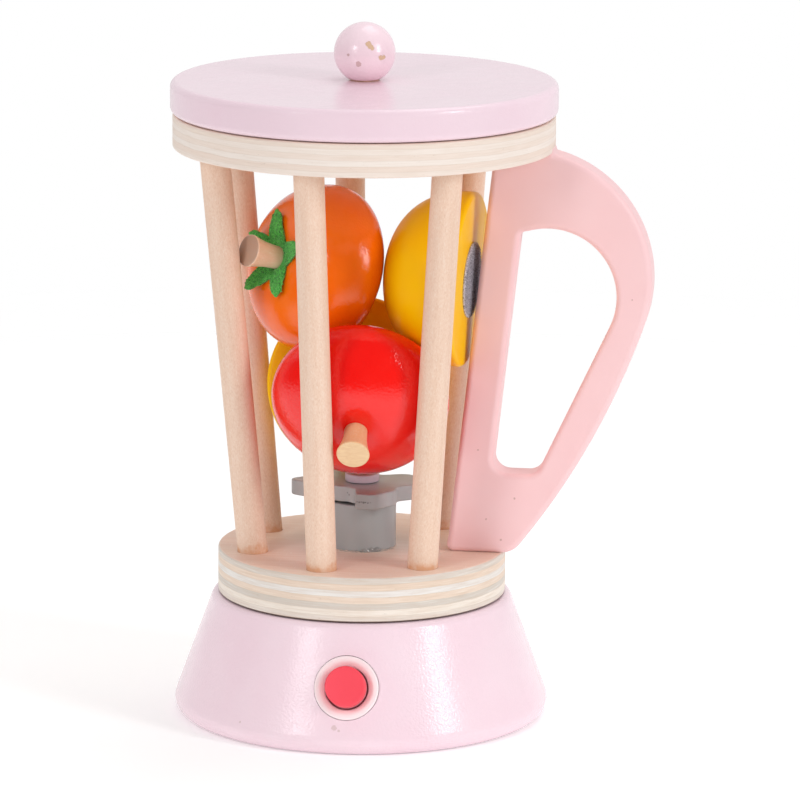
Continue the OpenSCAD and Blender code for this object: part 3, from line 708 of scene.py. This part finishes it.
stand_for(
    make("cutter_blade", board(outline, bore, 0, CUTTER_THICK, 0.5, 3), CUTTER_GREY,
         shift=(0, 0, CUTTER_LOW)),
    "cutter", "grey_paint", "blade")

rng = np.random.default_rng(11)


def copies(faces, count, verts):
    """The faces of one shape repeated for a number of copies, each with its own vertices."""
    return (faces + verts * np.arange(count)[:, None, None]).reshape(-1, 4)


def beads(azimuths, sizes, heights, r):
    """Low blobs of glue: half ellipsoids along a circle, merged into one mesh. Each has its
    own half width and height, and all are 0.9 mm from front to middle."""
    t = np.linspace(0, 1.45, 7)
    dome, faces = turned(path((0, -0.3), np.column_stack([np.cos(t), np.sin(t)]), (0, 1)), 16)
    a = np.radians(azimuths)[:, None]
    out, along = r + 0.9 * dome[:, 0], np.outer(sizes, dome[:, 1])
    verts = np.stack([out * np.cos(a) - along * np.sin(a), out * np.sin(a) + along * np.cos(a),
                      FLOOR_TOP + np.outer(heights, dome[:, 2])], 2)
    return verts.reshape(-1, 3), copies(faces, len(sizes), len(dome))


where = [-118, -108, -97, -90, -82, -76, -71, -66, -61, -56, -50, -40, -25, 40, 110, 170, 215]
tall = [0.4, 0.5, 0.5, 0.7, 0.8, 1.2, 0.9, 1.6, 1.0, 1.5, 0.9, 0.5, 0.5, 0.4, 0.5, 0.4, 0.5]
stand_for(make("glue_beads", beads(where, rng.uniform(0.7, 1.7, len(where)), tall, 11.4), GLUE),
          "jug", "axle_plastic")

ball = path(arc(0, 9.042, 10.1, -63.5, 89.5, 60), (0, 19.142))
stand_for(make("knob_ball", turned(ball, 128), KNOB_PINK, shift=(0, 0, LID_TOP)), "lid",
          "base_paint", "knob")


# ------------------------------------------------------------------ fruit


def fruit_side(a, r, h, fullness, slim, dimple):
    """Points of a fruit's side at angles a in degrees: a superellipse of half sizes r and h,
    narrowed towards its top by a share, whose upper half is lowered by a bell-shaped dimple
    dimple exp(-(x/8)^2)."""
    a = np.radians(a)
    k = (np.abs(np.cos(a)) ** fullness + np.abs(np.sin(a)) ** fullness) ** (-1 / fullness)
    x = r * k * np.cos(a) * (1 - slim * k * np.sin(a))
    return np.column_stack([x, h * k * np.sin(a) - dimple * np.exp(-((x / 8) ** 2)) * (a > 0)])


def fruit(shape):
    """Surface of revolution of a fruit's side, closed at both poles."""
    h, dimple = shape[1], shape[4]
    side = fruit_side(np.linspace(-88.5, 88.5, 120), *shape)
    return turned(path((0, -h), side, (0, h - dimple)), 200)


def stem(shape, length):
    """A turned stem that leaves its hole straight and flares to its end by 1.6 t^2."""
    h, dimple = shape[1], shape[4]
    foot, start = h - dimple - 5.9, h - dimple + 1.5
    t = np.linspace(0, 1, 16)
    flare = np.column_stack([3.8 + 1.6 * t * t, start + (length - 0.5 - start) * t])
    return turned(
        path((0, foot), (3.7, foot), (3.8, foot + 0.1), flare,
             arc(4.9, length - 0.5, 0.5, 10, 85, 5), (4.7, length), (2.5, length), (0, length)), 64)


def at(centre, azimuth, rise):
    """Turn and shift that put a fruit's own +Z in a direction, from the jug floor's middle."""
    return rotation(azimuth, rise), (centre[0], centre[1], centre[2] + FLOOR_TOP)


AT_PERSIMMON = at((-17.25, -0.8, 93.85), 224.2, 17.5)
AT_APPLE = at((1.75, -20.7, 51.55), 272.7, -27.7)
AT_HALF_A = at((35.95, -1.95, 91.3), -5.2, -2.8)
AT_HALF_B = at((-4.8, 7.55, 53.75), 266.7, 17.1)

persimmon = stand_for(
    make("persimmon_fruit", fruit(PERSIMMON), ORANGE, *AT_PERSIMMON), "persimmon",
    "orange_paint", "persimmon")
stand_for(
    make("persimmon_stalk", stem(PERSIMMON, PERSIMMON_STEM_END), PERSIMMON_STEM, *AT_PERSIMMON),
    "persimmon", "stem_wood", "persimmon_stem")

# The apple has five shallow lobes that deepen towards its crown
verts, faces = fruit(APPLE)
turned_to = np.arctan2(verts[:, 1], verts[:, 0])
crown = np.clip(verts[:, 2] / APPLE[1], 0, 1) ** 2
verts[:, :2] *= (1 - 0.012 * crown * (1 + np.cos(5 * turned_to + 0.6)))[:, None]
stand_for(make("apple_fruit", (verts, faces), RED, *AT_APPLE, seed=0.05), "apple", "red_paint",
          "apple")
stand_for(make("apple_stalk", stem(APPLE, APPLE_STEM_END), APPLE_STEM, *AT_APPLE), "apple",
          "stem_wood", "apple_stem")

half_side = fruit_side(np.linspace(-88.5, -3.8, 80), HALF_R, HALF_DEEP, 2.34, 0, 0)
half = turned(path((0, -HALF_DEEP), half_side, arc(27.5, -1.5, 1.5, 8, 90, 8), (27.2, 0), (20, 0),
                   (13, 0), (0, 0)), 200)
stand_for(make("yellow_fruit_a", half, YELLOW, *AT_HALF_A, seed=0.03), "yellow_a", "yellow_paint",
          "yellow_half_a")
stand_for(make("yellow_fruit_b", half, YELLOW, *AT_HALF_B, seed=0.07), "yellow_b", "yellow_paint",
          "yellow_half_b")


def tape_disc(bend):
    """A round of hook-and-loop tape: a woven back, and rows of small bent hooks on it. Each is
    a square strand in a random direction that rises, bends over by a distance and ends in the
    air: at each of four levels, its middle goes that way and four corners stand round it."""
    back, back_faces = turned(
        path((0, 0.02), (12.4, 0.02), (12.5, 0.1), (12.5, 0.5), (12.4, 0.6), (0, 0.6)), 72)
    i, j = np.mgrid[-16:17, -18:19]
    feet = np.column_stack([(i * 0.75 + 0.37 * (j % 2)).ravel(), (j * 0.65).ravel()])
    feet = feet[np.hypot(feet[:, 0], feet[:, 1]) <= 12.1]
    a = rng.uniform(0, 2 * math.pi, len(feet))
    ahead, left = np.column_stack([np.cos(a), np.sin(a)]), np.column_stack([-np.sin(a), np.cos(a)])
    corners = np.stack([ahead, left, -ahead, -left], 1)[:, None]
    levels = np.array([(0, 0.5, 0.12), (0, 0.95, 0.11), (bend * 0.5, 1.18, 0.1), (bend, 1.0, 0.07)])
    go, z, half_wide = levels.T[:, :, None, None]
    flat = feet[:, None, None] + go * ahead[:, None, None] + half_wide * corners
    hooks = np.concatenate([flat, z + 0 * flat[..., :1]], 3).reshape(-1, 3)
    faces = np.vstack([strips(np.arange(16).reshape(4, 4)), [[12, 13, 14, 15]]])
    faces = copies(faces, len(feet), 16) + len(back)
    return np.vstack([back, hooks]), np.vstack([back_faces, faces])


stand_for(make("hook_tape", tape_disc(0.4), HOOKS, *AT_HALF_A), "yellow_a", "hook_tape",
          "hook_disc")
stand_for(make("loop_tape", tape_disc(0.55), HOOKS, *AT_HALF_B, seed=0.02), "yellow_b",
          "hook_tape", "loop_disc")

# Felt leaves: direction and length of each tip in the fruit's own frame, and how far it curls up
LEAVES = [(30, 14.0, 1.8), (114, 12.8, 2.2), (200, 16.4, 1.6), (249, 15.7, 3.6), (323, 15.6, 3.4)]
STEM_HOLE_R, BETWEEN_LEAVES_R, LEAF_HALF_WIDE = 3.95, 5.2, 4.1


def leaf_reach(phi):
    """How far the felt reaches in each direction, and the leaf there. A leaf's half width at
    distance x is 4.1 (1 - 0.55 s - 0.45 s^12), with s running from 0 at 6 mm to 1 at its tip."""
    reach = np.full(len(phi), BETWEEN_LEAVES_R)
    leaf = np.tile(np.array(LEAVES[0]), (len(phi), 1))
    for one in LEAVES:
        off = np.abs((phi - one[0] + 180) % 360 - 180)
        x = np.linspace(4.6, one[1], 90)
        s = np.clip((x - 6) / (one[1] - 6), 0, 1)
        share = LEAF_HALF_WIDE * (1 - 0.55 * s - 0.45 * s**12) / x
        wide = np.degrees(np.arcsin(np.clip(share, 0, 1)))
        there = np.where(off < wide[0], np.interp(off, wide[::-1], x[::-1]), 0)
        leaf[there > reach] = one
        reach = np.maximum(reach, there)
    return reach, leaf


def calyx(around=360, steps=24, thick=1.15):
    """The cut felt as a ring of spokes from the stem to its ragged outline, laid on the crown
    with its tips curled up by c s^2, doubled at a thickness with random tufts on its upper
    side, and joined at its rims."""
    crown = fruit_side(np.linspace(90, 10, 300), *PERSIMMON)
    rough_edge = np.convolve(rng.normal(0, 0.32, around), [0.3, 0.5, 0.3], "same")
    tufts = rng.normal(0, 0.13, (steps, around)).T
    phi = 360 * np.arange(around) / around
    reach, leaf = leaf_reach(phi)
    reach += rough_edge * np.minimum(1, (reach - 5) / 4)
    middle, tip, curl = leaf.T[:, :, None]
    u = np.linspace(0, 1, steps)
    x = STEM_HOLE_R + (reach[:, None] - STEM_HOLE_R) * u
    s = np.clip((x - 6.5) / (tip - 6.5), 0, 1)
    off = (phi[:, None] - middle + 180) % 360 - 180
    z = np.interp(x, crown[:, 0], crown[:, 1]) + 0.12 + curl * s**2
    z += 0.25 * s * np.sin(0.9 * x + middle) + 0.024 * s * np.abs(off)
    above = z + thick * (1 - 0.35 * u**6) + tufts * np.minimum(1, 4 * u)
    t = np.radians(phi)[:, None]
    verts = np.concatenate([np.stack([x * np.cos(t), x * np.sin(t), h], 2) for h in (z, above)])
    index = np.arange(around * steps).reshape(around, steps)
    n = index.size
    a, b = index[:, :-1], index[:, 1:]
    d, c = np.roll(a, -1, 0), np.roll(b, -1, 0)
    sides = np.stack([np.stack([a, d, c, b], 2), np.stack([a, b, c, d], 2) + n], 2)
    p, q = index[:, [0]], np.roll(index, -1, 0)[:, [0]]
    inner = np.stack([p, p + n, q + n, q], 2)
    p, q = index[:, [-1]], np.roll(index, -1, 0)[:, [-1]]
    outer = np.stack([p, q, q + n, p + n], 2)
    faces = np.concatenate([sides.reshape(around, -1, 4), inner, outer], 1)
    return verts.reshape(-1, 3), faces.reshape(-1, 4)


def fuzz(verts, faces, count, long):
    """Stray fibres: thin strips that leave random faces, lean and bend at random and end in a
    point. Faces are picked whatever their size, so fibres stand closest where faces are small."""
    p, q, r = (verts[faces[:, i]] for i in range(3))
    out = np.cross(q - p, r - p)
    length = np.linalg.norm(out, axis=1)
    keep = np.where(length > 1e-9)[0]
    pick = rng.choice(keep, count)
    base = p[pick] * 0.4 + q[pick] * 0.3 + r[pick] * 0.3
    way = out[pick] / length[pick][:, None] + rng.normal(0, 0.7, (count, 3))
    way /= np.linalg.norm(way, axis=1)[:, None]
    side = np.cross(way, rng.normal(0, 1, (count, 3)))
    side *= 0.05 / np.linalg.norm(side, axis=1)[:, None]
    size = long * rng.uniform(0.4, 1, count)[:, None]
    bend = np.cross(side, way) * 3
    knee = base + way * size * 0.6 + bend
    strand = [base - side, base + side, knee + side * 0.6, knee - side * 0.6,
              base + way * size + bend * 3]
    return np.stack(strand, 1).reshape(-1, 3), copies(np.array([[0, 1, 2, 3], [3, 2, 4, 4]]), count, 5)


felt_shape = calyx()
leaves = stand_for(make("felt_leaves", felt_shape, FELT, *AT_PERSIMMON), "persimmon", "green_felt",
                   "persimmon_calyx")
fibres = stand_for(make("felt_fibres", fuzz(*felt_shape, 6000, 0.7), FUZZ, *AT_PERSIMMON),
                   "persimmon", "green_felt")
verts, faces = felt_shape

# ------------------------------------------------------------------ camera, light and floor

camera_data = bpy.data.cameras.new("camera")
camera_data.lens = 254.85
camera_data.sensor_width = 36
camera_data.clip_end = 20
camera = bpy.data.objects.new("camera", camera_data)
bpy.context.scene.collection.objects.link(camera)
bpy.context.scene.camera = camera
TARGET = Vector((0.01227, 0.00162, 0.10571))
PLACE = Vector((0.2522, -1.8209, 0.4984))
looking = (TARGET - PLACE).to_track_quat("-Z", "Y").to_matrix().to_4x4()
camera.matrix_world = Matrix.Translation(PLACE) @ looking @ Matrix.Rotation(math.radians(0.41), 4, "Z")


def softbox(name, azimuth, rise, distance, width, height, watts):
    """A rectangular lamp that looks at the middle of the toy from a direction."""
    data = bpy.data.lights.new(name, "AREA")
    data.shape = "RECTANGLE"
    data.size, data.size_y = width, height
    data.energy = watts
    lamp = bpy.data.objects.new(name, data)
    a, e = math.radians(azimuth), math.radians(rise)
    way = Vector((math.cos(e) * math.cos(a), math.cos(e) * math.sin(a), math.sin(e)))
    middle = Vector((0, 0, 0.12))
    facing = (-way).to_track_quat("-Z", "Y").to_matrix().to_4x4()
    lamp.matrix_world = Matrix.Translation(middle + way * distance) @ facing
    bpy.context.scene.collection.objects.link(lamp)


softbox("key", -27, 22, 1.5, 0.3, 0.55, 6.8)
softbox("fill", -122, 22, 1.5, 0.3, 0.45, 4.0)
softbox("side", 172, 30, 1.6, 0.7, 0.9, 0.8)
softbox("top", 60, 70, 1.5, 0.9, 0.9, 5.0)

world = bpy.data.worlds.new("studio")
bpy.context.scene.world = world
world.use_nodes = True
sky = world.node_tree
sky.nodes.clear()
rays = add(sky, "LightPath").node.outputs
seen = add(sky, "Math", {
    "operation": "MAXIMUM", 0: rays["Is Camera Ray"], 1: rays["Is Transmission Ray"]})
room = add(sky, "Background", {"Color": "FFFFFF", "Strength": 0.6})
white = add(sky, "Background", {"Color": "FFFFFF", "Strength": 1.0})
# Reflections see a white wall behind the toy and a darker room on the camera's side
facing_back = add(sky, "SeparateXYZ", {"Vector": add(sky, "TexCoord", out="Generated")}, "Y")
wall = add(sky, "MapRange", {
    "Value": facing_back, "From Min": -0.1, "From Max": 0.8, "To Min": 0.09, "To Max": 0.85})
mirrored = add(sky, "Background", {"Color": "FFFFFF", "Strength": wall})
lit = add(sky, "MixShader", {0: rays["Is Glossy Ray"], 1: room, 2: mirrored})
blend = add(sky, "MixShader", {0: seen, 1: lit, 2: white})
add(sky, "OutputWorld", {"Surface": blend})

# A pale floor that fades into the white room away from the toy
ground = bpy.data.meshes.new("studio_floor")
ground.from_pydata([(-6, -6, 0), (6, -6, 0), (6, 6, 0), (-6, 6, 0)], [], [(0, 1, 2, 3)])
floor = bpy.data.objects.new("studio_floor", ground)
bpy.context.scene.collection.objects.link(floor)
pale, pale_tree, pale_shader = surface("studio_floor_pale")
pale_shader.inputs["Base Color"].default_value = linear("FFFFFF")
pale_shader.inputs["Roughness"].default_value = 0.9
pale_shader.inputs["Specular IOR Level"].default_value = 0.0
pale_shader.inputs["Emission Color"].default_value = (1, 1, 1, 1)
pale_shader.inputs["Emission Strength"].default_value = 0.15
away = add(pale_tree, "VectorMath", {
    "operation": "LENGTH", 0: coordinates(pale_tree, False)}, "Value")
away = add(pale_tree, "MapRange", {"Value": away, "From Min": 0.3, "From Max": 0.75})
clear = add(pale_tree, "BsdfTransparent")
fade = add(pale_tree, "MixShader", {0: away, 1: pale_shader.outputs[0], 2: clear})
tree_end = next(n for n in pale_tree.nodes if n.type == "OUTPUT_MATERIAL")
pale_tree.links.new(fade, tree_end.inputs["Surface"])
ground.materials.append(pale)

bpy.context.scene.view_settings.view_transform = "Standard"
